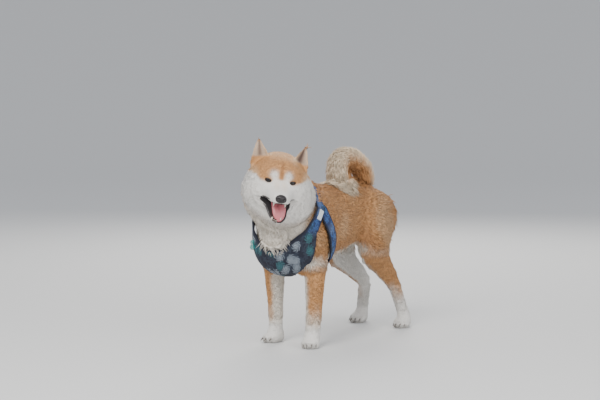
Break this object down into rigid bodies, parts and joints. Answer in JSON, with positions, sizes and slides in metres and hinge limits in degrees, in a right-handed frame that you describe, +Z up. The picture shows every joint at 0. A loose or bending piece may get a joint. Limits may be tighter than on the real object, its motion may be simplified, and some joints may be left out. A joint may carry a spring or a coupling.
{
  "type": "shiba inu model",
  "caption": "Life-size model of a standing shiba inu with head turned, mouth open, tail curled over its back, in a soft vest harness.",
  "frame": {"origin": "floor level under the middle of the model's bounding box", "axes": "+Z up; +Y towards the tail, so the chest faces -Y; +X to the dog's own left"},
  "size_m": [0.2096, 0.6254, 0.4976],
  "materials": {
    "red_coat": "short red dog fur, matte",
    "white_coat": "cream dog fur, matte",
    "dark_skin": "moist black nose leather",
    "eye": "polished dark brown",
    "tongue": "moist pink",
    "claw": "dark horn",
    "cloth": "woven navy cloth",
    "label": "pale woven tape",
    "teal": "teal glaze"
  },
  "bodies": {
    "root": {"torso": "red_coat", "neck": "white_coat", "head": "red_coat", "eye_left": "eye", "eye_right": "eye", "lower_jaw": "white_coat", "nose": "dark_skin", "tongue": "tongue", "ear_left": "red_coat", "ear_right": "red_coat", "fore_left_leg": "red_coat", "fore_left_foot": "white_coat", "fore_left_claw_1": "claw", "fore_left_claw_2": "claw", "fore_left_claw_3": "claw", "fore_left_claw_4": "claw", "fore_right_leg": "red_coat", "fore_right_foot": "white_coat", "fore_right_claw_1": "claw", "fore_right_claw_2": "claw", "fore_right_claw_3": "claw", "fore_right_claw_4": "claw", "hind_left_thigh": "red_coat", "hind_left_foot": "white_coat", "hind_left_claw_1": "claw", "hind_left_claw_2": "claw", "hind_left_claw_3": "claw", "hind_left_claw_4": "claw", "hind_right_thigh": "red_coat", "hind_right_foot": "white_coat", "hind_right_claw_1": "claw", "hind_right_claw_2": "claw", "hind_right_claw_3": "claw", "hind_right_claw_4": "claw", "tail_base": "white_coat", "tail_middle": "white_coat", "tail_tip": "white_coat", "harness_bib": "cloth", "harness_label": "label", "harness_charm": "teal", "harness_girth": "cloth"}
  },
  "joints": []
}
